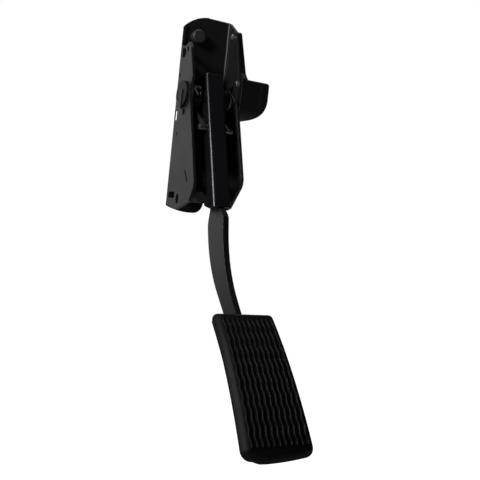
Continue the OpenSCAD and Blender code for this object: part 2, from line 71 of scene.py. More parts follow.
class Graph:
    """A small helper round a node tree."""

    def __init__(self, tree: bpy.types.NodeTree) -> None:
        """Keeps the tree.

        Args:
            tree: The tree that the nodes go in.
        """
        self.tree = tree

    def add(self, kind: str, **values: object) -> bpy.types.Node:
        """Adds one node.

        Args:
            kind: The node's type name.
            values: Properties of the node by name.

        Returns:
            The new node.
        """
        node = self.tree.nodes.new(kind)
        for name, value in values.items():
            setattr(node, name, value)
        return node

    def link(self, source: Socket, target: Socket) -> None:
        """Links an output to an input."""
        self.tree.links.new(source, target)

    def maths(self, operation: str, first: Socket | float, second: Socket | float = 0.0) -> Socket:
        """Adds a Math node.

        Args:
            operation: The operation's name.
            first: The first value, or the socket that gives it.
            second: The second value, or the socket that gives it.

        Returns:
            The node's output.
        """
        node = self.add("ShaderNodeMath", operation=operation)
        for index, value in enumerate((first, second)):
            if isinstance(value, (int, float)):
                node.inputs[index].default_value = value
            else:
                self.link(value, node.inputs[index])
        return node.outputs[0]

    def spread(self, value: Socket, low: float, high: float, to_low: float, to_high: float) -> Socket:
        """Maps a value from one range to another.

        Args:
            value: The socket to map.
            low: Start of the range it is read in.
            high: End of that range.
            to_low: What the start becomes.
            to_high: What the end becomes.

        Returns:
            The mapped value.
        """
        node = self.add("ShaderNodeMapRange")
        self.link(value, node.inputs["Value"])
        for name, number in (("From Min", low), ("From Max", high), ("To Min", to_low), ("To Max", to_high)):
            node.inputs[name].default_value = number
        return node.outputs[0]


def new_group(
    name: str, inputs: dict[str, float], outputs: dict[str, str]
) -> tuple[Graph, bpy.types.Node, bpy.types.Node]:
    """Starts a shader node group.

    Args:
        name: The group's name.
        inputs: Inputs with their default values; one called Normal is a vector and has none.
        outputs: Output names with their socket types.

    Returns:
        The group's graph, its input node and its output node.
    """
    tree = bpy.data.node_groups.new(name, "ShaderNodeTree")
    for label, value in inputs.items():
        kind = "NodeSocketVector" if label == "Normal" else "NodeSocketFloat"
        socket = tree.interface.new_socket(label, in_out="INPUT", socket_type=kind)
        if kind == "NodeSocketFloat":
            socket.default_value = value
    for label, kind in outputs.items():
        tree.interface.new_socket(label, in_out="OUTPUT", socket_type=kind)
    graph = Graph(tree)
    return graph, graph.add("NodeGroupInput"), graph.add("NodeGroupOutput")


def grain_group() -> bpy.types.NodeTree:
    """Builds the group for fine grain: a fine and a broad noise.

    Returns:
        The group, with outputs Fine, Broad and Normal.
    """
    graph, start, end = new_group(
        "Fine grain",
        {"Scale": 900.0, "Height": 0.00003, "Normal": 0.0},
        {"Fine": "NodeSocketFloat", "Broad": "NodeSocketFloat", "Normal": "NodeSocketVector"},
    )
    place = graph.add("ShaderNodeTexCoord")
    fine = graph.add("ShaderNodeTexNoise")
    broad = graph.add("ShaderNodeTexNoise")
    for noise in (fine, broad):
        graph.link(place.outputs["Object"], noise.inputs["Vector"])
    graph.link(start.outputs["Scale"], fine.inputs["Scale"])
    fine.inputs["Detail"].default_value = 3.0
    broad.inputs["Scale"].default_value = 22.0
    broad.inputs["Detail"].default_value = 5.0
    bump = graph.add("ShaderNodeBump")
    graph.link(fine.outputs[0], bump.inputs["Height"])
    graph.link(start.outputs["Height"], bump.inputs["Distance"])
    graph.link(start.outputs["Normal"], bump.inputs["Normal"])
    graph.link(fine.outputs[0], end.inputs["Fine"])
    graph.link(broad.outputs[0], end.inputs["Broad"])
    graph.link(bump.outputs[0], end.inputs["Normal"])
    return graph.tree


def edge_group() -> bpy.types.NodeTree:
    """Builds the group that finds edges, where the rounded normal leaves the flat one.

    Returns:
        The group, with outputs Mask and Normal.
    """
    graph, start, end = new_group(
        "Worn edges",
        {"Radius": 0.0006, "Roughness": 400.0},
        {"Mask": "NodeSocketFloat", "Normal": "NodeSocketVector"},
    )
    bevel = graph.add("ShaderNodeBevel", samples=4)
    graph.link(start.outputs["Radius"], bevel.inputs["Radius"])
    flat = graph.add("ShaderNodeNewGeometry")
    dot = graph.add("ShaderNodeVectorMath", operation="DOT_PRODUCT")
    graph.link(bevel.outputs[0], dot.inputs[0])
    graph.link(flat.outputs["Normal"], dot.inputs[1])
    turned = graph.spread(dot.outputs["Value"], 0.995, 0.86, 0.0, 1.0)
    place = graph.add("ShaderNodeTexCoord")
    noise = graph.add("ShaderNodeTexNoise")
    graph.link(place.outputs["Object"], noise.inputs["Vector"])
    graph.link(start.outputs["Roughness"], noise.inputs["Scale"])
    noise.inputs["Detail"].default_value = 4.0
    broken = graph.spread(noise.outputs[0], 0.42, 0.62, 0.0, 1.0)
    graph.link(graph.maths("MULTIPLY", turned, broken), end.inputs["Mask"])
    graph.link(bevel.outputs[0], end.inputs["Normal"])
    return graph.tree


# ------------------------------------------------------------------- finishes


class Wear(Enum):
    """What shows where an edge is worn."""

    NONE = "none"
    PALE = "pale"
    METAL = "metal"


@dataclass(frozen=True)
class Finish:
    """One surface finish with its grain and its worn edges."""

    name: str
    colour: tuple[float, float, float]
    roughness: float
    metallic: float = 0.0
    specular: float = 0.5
    coat: float = 0.0
    grain_scale: float = 900.0
    grain_height: float = 0.00002
    tone: float = 0.12
    roughness_range: float = 0.06
    edge: Wear = Wear.PALE
    edge_colour: tuple[float, float, float] = (0.12, 0.12, 0.125)
    edge_radius: float = 0.0006
    sheen: float = 0.0

    def material(self) -> bpy.types.Material:
        """Builds the material.

        Returns:
            The material, with its node tree.
        """
        made = bpy.data.materials.new(self.name)
        made.use_nodes = True
        graph = Graph(made.node_tree)
        made.node_tree.nodes.clear()
        shader = graph.add("ShaderNodeBsdfPrincipled")
        output = graph.add("ShaderNodeOutputMaterial")
        graph.link(shader.outputs[0], output.inputs[0])
        grain = graph.add("ShaderNodeGroup", node_tree=bpy.data.node_groups["Fine grain"])
        grain.inputs["Scale"].default_value = self.grain_scale
        grain.inputs["Height"].default_value = self.grain_height
        level = graph.spread(grain.outputs["Broad"], 0.3, 0.7, 1.0 - self.tone, 1.0 + self.tone)
        fleck = graph.spread(grain.outputs["Fine"], 0.3, 0.7, 1.0 - 0.5 * self.tone, 1.0 + 0.5 * self.tone)
        tint = graph.add("ShaderNodeVectorMath", operation="SCALE")
        tint.inputs[0].default_value = self.colour
        graph.link(graph.maths("MULTIPLY", level, fleck), tint.inputs["Scale"])
        colour = tint.outputs[0]
        edge = graph.add("ShaderNodeGroup", node_tree=bpy.data.node_groups["Worn edges"])
        edge.inputs["Radius"].default_value = self.edge_radius
        graph.link(edge.outputs["Normal"], grain.inputs["Normal"])
        if self.edge is not Wear.NONE:
            mix = graph.add("ShaderNodeMix", data_type="RGBA")
            graph.link(edge.outputs["Mask"], mix.inputs["Factor"])
            graph.link(colour, mix.inputs["A"])
            mix.inputs["B"].default_value = (*self.edge_colour, 1.0)
            colour = mix.outputs["Result"]
            if self.edge is Wear.METAL:
                bare = graph.spread(edge.outputs["Mask"], 0.3, 0.9, self.metallic, 1.0)
                graph.link(bare, shader.inputs["Metallic"])
        graph.link(colour, shader.inputs["Base Color"])
        smoother, rougher = self.roughness - self.roughness_range, self.roughness + self.roughness_range
        rough = graph.spread(grain.outputs["Broad"], 0.3, 0.7, smoother, rougher)
        graph.link(rough, shader.inputs["Roughness"])
        graph.link(grain.outputs["Normal"], shader.inputs["Normal"])
        if self.edge is not Wear.METAL:
            shader.inputs["Metallic"].default_value = self.metallic
        shader.inputs["Specular IOR Level"].default_value = self.specular
        shader.inputs["Coat Weight"].default_value = self.coat
        shader.inputs["Coat Roughness"].default_value = 0.25
        shader.inputs["Sheen Weight"].default_value = self.sheen
        return made


FINISHES: tuple[Finish, ...] = (
    Finish("bracket_paint", (0.012, 0.012, 0.0135), 0.38, specular=0.4, edge_colour=(0.03, 0.03, 0.032)),
    Finish("lever_paint", (0.0075, 0.0075, 0.0095), 0.3, specular=0.4, edge_colour=(0.02, 0.02, 0.022)),
    Finish("grey_steel", (0.035, 0.035, 0.036), 0.45, edge_colour=(0.09, 0.09, 0.092)),
    Finish("bright_steel", (0.3, 0.3, 0.31), 0.34, metallic=1.0, edge_colour=(0.45, 0.45, 0.47)),
    Finish("spring_steel", (0.05, 0.05, 0.053), 0.36, metallic=1.0, edge=Wear.NONE, edge_radius=0.0002),
    Finish("bush_plastic", (0.008, 0.008, 0.0085), 0.5, specular=0.25, edge_colour=(0.02, 0.02, 0.022)),
    Finish("washer_plastic", (0.6, 0.58, 0.53), 0.45, edge=Wear.NONE),
    Finish("black_rubber", (0.0032, 0.0032, 0.0036), 0.5, specular=0.14, grain_scale=1400.0,
           grain_height=0.00004, edge=Wear.NONE, edge_radius=0.0003),
    Finish("sensor_plastic", (0.006, 0.006, 0.0068), 0.42, specular=0.35, edge_colour=(0.014, 0.014, 0.015)),
    Finish("board_green", (0.03, 0.16, 0.08), 0.35, edge=Wear.NONE),
    Finish("contact_brass", (0.7, 0.55, 0.26), 0.3, metallic=1.0, edge=Wear.NONE),
)


# ------------------------------------------------------------------ modelling


class Axis(Enum):
    """Main directions, with the order in which an outline's two numbers are placed."""

    X = (0, 1, 2)
    Y = (1, 0, 2)
    Z = (2, 0, 1)

    def point(self, along: float, first: float, second: float) -> Vector:
        """Places a point of an outline, in metres."""
        place = Vector()
        place[self.value[0]] = along * MM
        place[self.value[1]] = first * MM
        place[self.value[2]] = second * MM
        return place

    def step(self, length: float) -> Vector:
        """Gives a step along the direction, in metres."""
        return self.point(length, 0.0, 0.0)


class Pick(Enum):
    """What a selection is made of."""

    VERTS = "VERT"
    EDGES = "EDGE"
    FACES = "FACE"


def rounded(corners: Sequence[Corner], steps: int = 7) -> list[Point]:
    """Rounds the corners of a closed outline.

    Args:
        corners: Two coordinates and a radius for each corner, in mm.
        steps: Steps of each arc.

    Returns:
        The outline's points.
    """
    points: list[Point] = []
    for index, (x, y, radius) in enumerate(corners):
        here = Vector((x, y))
        if radius <= 0.0:
            points.append((x, y))
            continue
        before = (Vector(corners[index - 1][:2]) - here).normalized()
        after = (Vector(corners[(index + 1) % len(corners)][:2]) - here).normalized()
        half = before.angle(after) / 2.0
        middle = here + (before + after).normalized() * radius / math.sin(half)
        start = here + before * radius / math.tan(half) - middle
        end = here + after * radius / math.tan(half) - middle
        first = math.atan2(start.y, start.x)
        turn = math.atan2(start.x * end.y - start.y * end.x, start.dot(end))
        for step in range(steps + 1):
            angle = first + turn * step / steps
            points.append((middle.x + radius * math.cos(angle), middle.y + radius * math.sin(angle)))
    return points


def ring(first: float, second: float, radius: float, steps: int = 48) -> list[Point]:
    """Gives the points of a circle, in mm."""
    turns = (math.tau * step / steps for step in range(steps))
    return [(first + radius * math.cos(turn), second + radius * math.sin(turn)) for turn in turns]


class Body(Enum):
    """The two bodies that the pivot joins."""

    BRACKET = "bracket_assembly"
    PEDAL = "pedal"


@dataclass(frozen=True)
class Look:
    """What a new piece wears, rides on and stands for."""

    slot: str
    body: str
    nodes: tuple[str, ...] = ()
    blend: tuple[Place, Place] | None = None


class Bench:
    """Work on one mesh with the modelling operators."""

    finishes: dict[str, bpy.types.Material] = {}

    def __init__(self, piece: Piece) -> None:
        """Takes a piece on the bench.

        Args:
            piece: The mesh object to work on.
        """
        self.piece = piece

    @staticmethod
    def clear() -> None:
        """Leaves edit mode and deselects everything."""
        if bpy.context.object is not None and bpy.context.object.mode != "OBJECT":
            bpy.ops.object.mode_set(mode="OBJECT")
        bpy.ops.object.select_all(action="DESELECT")

    @classmethod
    def block(cls, name: str, low: Place, high: Place) -> "Bench":
        """Starts a piece as a block between two corners, in mm.

        Args:
            name: The piece's name.
            low: Its lowest corner.
            high: Its highest corner.

        Returns:
            The bench with the block on it.
        """
        cls.clear()
        middle = [(a + b) / 2.0 * MM for a, b in zip(low, high)]
        bpy.ops.mesh.primitive_cube_add(size=1.0, location=middle)
        bpy.context.object.scale = [(b - a) * MM for a, b in zip(low, high)]
        bpy.context.object.name = name
        return cls(bpy.context.object).settle()

    @classmethod
    def plate(cls, name: str, outline: Sequence[Point], axis: Axis, low: float, high: float) -> "Bench":
        """Draws an outline vertex by vertex, fills it and extrudes it to a plate.

        Args:
            name: The piece's name.
            outline: The outline's points, in mm.
            axis: The direction of its thickness.
            low: Where it starts along that direction.
            high: Where it ends.

        Returns:
            The bench with the plate on it.
        """
        cls.clear()
        points = [axis.point(low, *point) for point in outline]
        bpy.ops.mesh.primitive_plane_add(size=MM, location=(0.0, 0.0, 0.0))
        bench = cls(bpy.context.object)
        bench.piece.name = name
        bpy.ops.object.mode_set(mode="EDIT")
        bpy.ops.mesh.select_mode(type="VERT")
        bpy.ops.mesh.merge(type="CENTER")
        bpy.ops.transform.translate(value=points[0])
        for here, there in zip(points, points[1:]):
            bpy.ops.mesh.extrude_vertices_move(TRANSFORM_OT_translate={"value": there - here})
        bpy.ops.mesh.select_all(action="SELECT")
        bpy.ops.mesh.remove_doubles(threshold=1e-6)
        bpy.ops.mesh.edge_face_add()
        bpy.ops.mesh.extrude_region_move(TRANSFORM_OT_translate={"value": axis.step(high - low)})
        bpy.ops.mesh.select_all(action="SELECT")
        bpy.ops.mesh.normals_make_consistent(inside=False)
        bpy.ops.object.mode_set(mode="OBJECT")
        return bench

    def select(self, kind: Pick, test: Callable[[Vector], bool]) -> int:
        """Selects, in edit mode, what lies where the test says.

        Args:
            kind: Vertices, edges or faces.
            test: Takes a place in mm, the middle of an edge or face, and says whether it is wanted.

        Returns:
            How many were selected.
        """
        self.edit()
        bpy.ops.mesh.select_mode(type=kind.value)
        bpy.ops.mesh.select_all(action="DESELECT")
        mesh = bmesh.from_edit_mesh(self.piece.data)
        found = 0
        items = {Pick.VERTS: mesh.verts, Pick.EDGES: mesh.edges, Pick.FACES: mesh.faces}[kind]
        for item in items:
            if kind is Pick.VERTS:
                middle = item.co
            elif kind is Pick.EDGES:
                middle = (item.verts[0].co + item.verts[1].co) / 2.0
            else:
                middle = item.calc_center_median()
            item.select_set(bool(test(middle / MM)))
            found += item.select
        mesh.select_flush_mode()
        bmesh.update_edit_mesh(self.piece.data)
        return found

    def edit(self) -> None:
        """Goes into edit mode on the piece."""
        if self.piece.mode != "EDIT":
            self.clear()
            bpy.context.view_layer.objects.active = self.piece
            self.piece.select_set(True)
            bpy.ops.object.mode_set(mode="EDIT")

    def slice(self, axis: Axis, places: Sequence[float]) -> None:
        """Cuts edge rings across the piece at places along a direction, in mm."""
        for place in places:
            self.select(Pick.FACES, lambda middle: True)
            bpy.ops.mesh.bisect(plane_co=axis.step(place), plane_no=axis.step(1.0).normalized())

    def middle(self) -> Vector:
        """Gives the middle of the mesh, read in edit mode."""
        mesh = bmesh.from_edit_mesh(self.piece.data)
        return sum((vert.co for vert in mesh.verts), Vector()) / len(mesh.verts)

    def shift(self, test: Callable[[Vector], bool], by: Place) -> None:
        """Moves the vertices that pass the test, in mm."""
        self.select(Pick.VERTS, test)
        bpy.ops.transform.translate(value=Vector(by) * MM)

    def apply(self, kind: str, **values: object) -> "Bench":
        """Adds a modifier with its values and applies it.

        Args:
            kind: The modifier's type.
            values: Its properties by name.

        Returns:
            This bench.
        """
        self.clear()
        bpy.context.view_layer.objects.active = self.piece
        self.piece.select_set(True)
        modifier = self.piece.modifiers.new(kind.title(), kind)
        for name, value in values.items():
            setattr(modifier, name, value)
        bpy.ops.object.modifier_apply(modifier=modifier.name)
        return self

    def combine(self, other: "Bench", operation: str) -> "Bench":
        """Joins, cuts or keeps what is common with another mesh, which goes away.

        Args:
            other: The bench with the other mesh.
            operation: UNION, DIFFERENCE or INTERSECT.

        Returns:
            This bench.
        """
        self.apply("BOOLEAN", object=other.piece, operation=operation, solver="EXACT")
        bpy.data.objects.remove(other.piece, do_unlink=True)
        return self

    def gather(self, others: Sequence["Bench"]) -> "Bench":
        """Joins other pieces' meshes into this one without cutting."""
        self.clear()
        for other in (*others, self):
            other.piece.select_set(True)
        bpy.context.view_layer.objects.active = self.piece
        bpy.ops.object.join()
        return self

    def settle(self) -> "Bench":
        """Puts the object's place, turn and size into its mesh."""
        self.clear()
        bpy.context.view_layer.objects.active = self.piece
        self.piece.select_set(True)
        bpy.ops.object.transform_apply(location=True, rotation=True, scale=True)
        return self

    def finish(self, look: Look, smooth: float = 35.0) -> Piece:
        """Smooths the piece, gives it its finish, hides the nodes it replaces and hangs it on its body's empty, or
        only bakes its place into the mesh when it has blend places.

        Args:
            look: The piece's slot, body and replaced nodes.
            smooth: Angle below which edges are shaded smooth, in degrees.

        Returns:
            The finished piece.
        """
        self.settle()
        bpy.ops.object.mode_set(mode="EDIT")
        bpy.ops.mesh.select_all(action="SELECT")
        bpy.ops.mesh.normals_make_consistent(inside=False)
        bpy.ops.object.mode_set(mode="OBJECT")
        bpy.ops.object.shade_smooth_by_angle(angle=math.radians(smooth))
        self.apply("WEIGHTED_NORMAL", keep_sharp=True)
        self.piece.data.materials.clear()
        self.piece.data.materials.append(self.finishes[look.slot])
        if look.nodes:
            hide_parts(*look.nodes)
        if look.blend is None:
            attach(self.piece, look.body)
        else:
            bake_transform(self.piece)
        LOG.info("made %s: %d faces, finish %s", self.piece.name, len(self.piece.data.polygons), look.slot)
        return self.piece


# --------------------------------------------------------------------- pieces


@dataclass(frozen=True)
class Pivot:
    """The pivot axis and the lean of lever and walls."""

    y: float = -24.0
    z: float = 17.0
    lean: float = 20.0


PIVOT = Pivot()


@dataclass
class Bracket:
    """The folded bracket: back plate and two unequal walls, with its openings, cuts and clip strap."""

    half: float = 28.0
    sheet: float = 3.0
    bend: float = 2.0
    up: float = 105.0
    down: float = 103.0
    low_end: float = 97.0
    crown_x: float = 5.0
    crown: float = 42.0
    toe_x: float = 3.5
    toe: float = 11.5
    bush: float = 13.5
    bush_face: float = 31.1
    right_bush: float = 10.0
    bolt: tuple[float, float, float] = (4.5, 17.0, -66.0)
    nut: tuple[float, float, float] = (5.5, -11.0, 82.0)
    stop: tuple[float, float] = (4.0, -86.0)
    screw: float = 2.0
    screws: tuple[Point, ...] = ((-14.0, 87.0), (-36.0, 35.0), (-9.5, 6.0))
    left: tuple[Corner, ...] = (
        (1, -104, 0), (-5, -104, 0), (-5, -96, 0), (-30.8, -101.5, 20), (-62.98, -92, 6), (-72.16, -76, 12),
        (-37.22, 20, 8), (-41.99, 33, 8), (-30.71, 64, 4), (-25.39, 70.5, 1.5), (-15.39, 67, 2), (-10, 69, 1),
        (-5, 69.5, 0), (-5, 106, 0), (1, 106, 0))
    right: tuple[Corner, ...] = (
        (1, -104, 0), (-5, -104, 0), (-5, -96, 0), (-45.8, -95, 6), (-69.61, -69, 12), (-37.22, 20, 8),
        (-41.99, 33, 8), (-22.38, 91, 6), (-4, 103.5, 8), (1, 106, 0))
    cuts: tuple[tuple[Corner, ...], ...] = (
        ((-8.5, 66, 1.5), (-17, 65, 1.5), (-19, 59, 2), (-15.5, 55.5, 2), (-9.5, 56.5, 2)),
        ((-20.5, 66, 1), (-25, 66, 1.5), (-26, 60, 1.5), (-22, 60.5, 1)),
        ((-9, -89.5, 1), (-9, -83.2, 1), (-24.5, -83, 1), (-25, -89.5, 1)))
    slots: tuple[tuple[float, ...], ...] = (
        (-8, 38, 3, 4, 0), (-29, -1, 3.6, 4, 0), (-15, -23, 2, 4, 0), (-50.5, -67, 2.6, 16, -36),
        (-33.3, -90.2, 7, 10, 0))
    window: tuple[float, float] = (-8.5, 2.0)
    strap: tuple[float, float, float] = (-25.8, 3.6, 1.2)
    key: tuple[float, float, float] = (4.5, 5.0, 40.0)
    bore: float = 5.05
    flange: float = 2.0
    cap_step: float = 1.2
    snug: float = 0.02
    cavities: tuple[Place, ...] = ((6.0, -30.4, -28.6), (12.0, -28.7, -27.1))
    ease: float = 0.35

    def plate_outline(self) -> list[Point]:
        """Gives the back plate's outline: round at the upper left, bowed below with a turned-up right end."""
        bow = self.down - self.low_end
        radius = (self.half**2 + bow**2) / (2.0 * bow)
        reach = self.half + 1.0

        def bottom(x: float) -> float:
            return -self.down + radius - math.sqrt(radius**2 - x * x)

        points = [(x, bottom(x)) for x in (-self.half + (self.half + self.toe_x) * i / 16 for i in range(17))]
        toe_z = bottom(self.toe_x) + self.toe
        for i in range(1, 9):
            turn = math.radians(90.0 * i / 8 - 90.0)
            points.append((self.toe_x + self.toe * math.cos(turn), toe_z + self.toe * math.sin(turn)))
        points.append((reach, toe_z))
        for i in range(17):
            x = reach - (self.half + reach) * i / 16
            points.append((x, self.up - self.crown + math.sqrt(self.crown**2 - min(x - self.crown_x, 0.0) ** 2)))
        return points

    def keyed(self, name: str, low: float, high: float, radius: float) -> Bench:
        """Makes the left bush's shape, a disc with one quarter cut away.

        Args:
            name: The mesh's name.
            low: Where it starts along X, in mm.
            high: Where it ends.
            radius: Its radius.

        Returns:
            The bench with the disc.
        """
        disc = Bench.plate(name, ring(PIVOT.y, PIVOT.z, radius, 64), Axis.X, low, high)
        key_y, key_z, far = self.key
        key = Bench.block("key", (low - 1.0, PIVOT.y + key_y, PIVOT.z - far), (high + 1.0, PIVOT.y + far, PIVOT.z - key_z))
        return disc.combine(key, "DIFFERENCE")

    def openings(self) -> list[Bench]:
        """Makes the cutters of all openings."""
        outer, inner = -self.half - 1.0, -self.half + self.sheet + 1.0
        bolt, bolt_x, bolt_z = self.bolt
        tools = [Bench.plate("cut", ring(x, z, radius), Axis.Y, -self.sheet - 1.0, 1.0)
                 for radius, x, z in ((bolt, bolt_x, bolt_z), (bolt, -bolt_x, bolt_z), self.nut,
                                      (self.stop[0], 0.0, self.stop[1]))]
        tools += [Bench.plate("cut", ring(y, z, self.screw, 32), Axis.X, -inner, -outer) for y, z in self.screws]
        tools.append(Bench.plate("cut", ring(PIVOT.y, PIVOT.z, self.right_bush, 64), Axis.X, -inner, -outer))
        tools.append(Bench.plate("cut", ring(PIVOT.y, PIVOT.z, self.bush, 64), Axis.X, outer, inner))
        tools += [Bench.plate("cut", rounded(cut, 4), Axis.X, outer, inner) for cut in self.cuts]
        for y, z, width, height, turn in self.slots:
            slot = rounded([(sy * width / 2, sz * height / 2, width * 0.45)
                            for sy, sz in ((-1, -1), (1, -1), (1, 1), (-1, 1))], 6)
            angle = math.radians(turn)
            points = [(y + a * math.cos(angle) - b * math.sin(angle), z + a * math.sin(angle) + b * math.cos(angle))
                      for a, b in slot]
            tools.append(Bench.plate("cut", points, Axis.X, outer, inner))
        low, high = self.window
        tools.append(Bench.block("cut", (outer, -10.5, low), (inner + 3.0, -3.2, high)))
        tools.append(Bench.block("cut", (outer + 2.8, -7.0, low), (inner + 2.8, 1.0, high)))
        return tools

    def clip_strap(self) -> Bench:
        """Makes the strap that lies on the bush and steps down to the wall."""
        y, width, thick = self.strap
        face, wall, top, foot = -self.bush_face, -self.half, PIVOT.z + 4.0, PIVOT.z - self.bush - 0.5
        outline = rounded([
            (face, top, 0), (face - thick, top, 0.4), (face - thick, foot, 1), (wall - thick, foot - 2, 1),
            (wall - thick, foot - 7, 0.4), (wall, foot - 7, 0), (wall, foot - 1.2, 0.5), (face, foot + 0.3, 0.5)], 4)
        return Bench.plate("strap", outline, Axis.Y, y - width / 2.0, y + width / 2.0)

    def build(self) -> Piece:
        """Builds the bracket.

        Returns:
            The finished piece.
        """
        inner, far = self.half - self.sheet, -75.0
        profile = rounded([
            (-self.half, far, 0), (-inner, far, 0), (-inner, -self.sheet, self.bend), (inner, -self.sheet, self.bend),
            (inner, far, 0), (self.half, far, 0), (self.half, 0, self.bend + self.sheet),
            (-self.half, 0, self.bend + self.sheet)])
        bench = Bench.plate("bracket_shell", profile, Axis.Z, -self.down - 1.0, self.up + 1.0)
        sides = Bench.plate("side", rounded(self.left), Axis.X, -self.half - 1.0, 1.0)
        sides.combine(Bench.plate("side", rounded(self.right), Axis.X, 0.0, self.half + 1.0), "UNION")
        bench.combine(sides, "INTERSECT")
        rest = Bench.block("rest", (-self.half - 1.0, -self.sheet - self.bend, -self.down - 2.0),
                           (self.half + 1.0, 1.0, self.up + 2.0))
        rest.combine(Bench.plate("kept", self.plate_outline(), Axis.Y, -8.0, 2.0), "DIFFERENCE")
        bench.combine(rest, "DIFFERENCE")
        for tool in self.openings():
            bench.combine(tool, "DIFFERENCE")
        bench.gather([self.clip_strap()])
        bench.apply("BEVEL", width=self.ease * MM, segments=2, limit_method="ANGLE",
                    angle_limit=math.radians(40.0), use_clamp_overlap=True)
        return bench.finish(Look("bracket_paint", Body.BRACKET.value, ("bracket",)))

    def build_bush(self) -> Piece:
        """Builds the left bush: a keyed blind cap over the shaft's end and its clip, flanged inside the wall.

        Returns:
            The finished piece.
        """
        inner = -self.half + self.sheet
        shell, snug = -self.half - self.cap_step, self.bush - self.snug
        bench = Bench.plate("left_bush_cap", ring(PIVOT.y, PIVOT.z, snug, 64), Axis.X, shell, inner)
        bench.combine(self.keyed("cap", -self.bush_face, shell + 0.4, snug), "UNION")
        bench.combine(Bench.plate("flange", ring(PIVOT.y, PIVOT.z, self.bush + self.flange, 64), Axis.X,
                                  inner, inner + self.flange), "UNION")
        for radius, low, high in self.cavities:
            bench.combine(Bench.plate("hollow", ring(PIVOT.y, PIVOT.z, radius), Axis.X, low, high), "DIFFERENCE")
        bench.combine(Bench.plate("bore", ring(PIVOT.y, PIVOT.z, self.bore), Axis.X,
                                  -self.half - 0.2, inner + self.flange + 1.0), "DIFFERENCE")
        bench.apply("BEVEL", width=self.ease * MM, segments=2, limit_method="ANGLE",
                    angle_limit=math.radians(40.0), use_clamp_overlap=True)
        return bench.finish(Look("bush_plastic", Body.BRACKET.value, ("left_bush",)))


